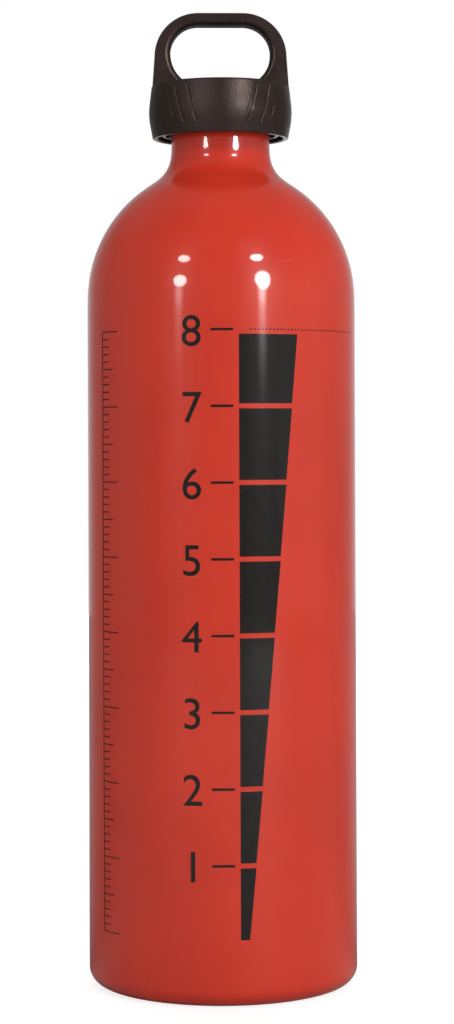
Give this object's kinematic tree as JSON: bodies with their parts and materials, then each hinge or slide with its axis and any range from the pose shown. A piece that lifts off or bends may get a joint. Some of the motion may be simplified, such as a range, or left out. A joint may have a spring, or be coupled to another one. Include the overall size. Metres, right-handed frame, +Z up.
{
  "type": "camping fuel bottle",
  "caption": "Tall red enamelled aluminium fuel bottle with a domed shoulder, narrow neck and black push-and-turn cap with a carrying loop.",
  "frame": {"origin": "on the table, under the middle of the base", "axes": "+Z up the bottle's own axis to the cap; the front, with the print, faces -Y; +X to the viewer's right; the loop stands across X"},
  "size_m": [0.079, 0.079, 0.2852],
  "materials": {
    "enamelled_aluminium": "gloss",
    "seal_rubber": "satin",
    "plug_plastic": "satin",
    "spring_steel": "polished",
    "cap_plastic": "satin"
  },
  "bodies": {
    "bottle": {"bottle_shell": "enamelled_aluminium"},
    "seal": {"o_ring": "seal_rubber"},
    "plug": {"threaded_plug": "plug_plastic", "return_spring": "spring_steel"},
    "cap": {"cap_shell": "cap_plastic"}
  },
  "joints": [
    {"name": "cap_rise", "type": "slide", "parent": "bottle", "child": "seal", "axis": [0, 0, 1], "range_m": [0, 0.0181]},
    {"name": "cap_turn", "type": "hinge", "parent": "seal", "child": "plug", "pos_m": [0, 0, 0.2557], "axis": [0, 0, 1], "range_deg": [0, 2160]},
    {"name": "push_down", "type": "slide", "parent": "plug", "child": "cap", "axis": [0, 0, -1], "range_m": [0, 0.002], "stiffness_N_per_m": 1500, "springref_m": -0.006, "deforming": ["return_spring"]}
  ],
  "couplings": [
    {"joint": "cap_rise", "follows": "cap_turn", "m_per_rad": 0.00047746}
  ]
}
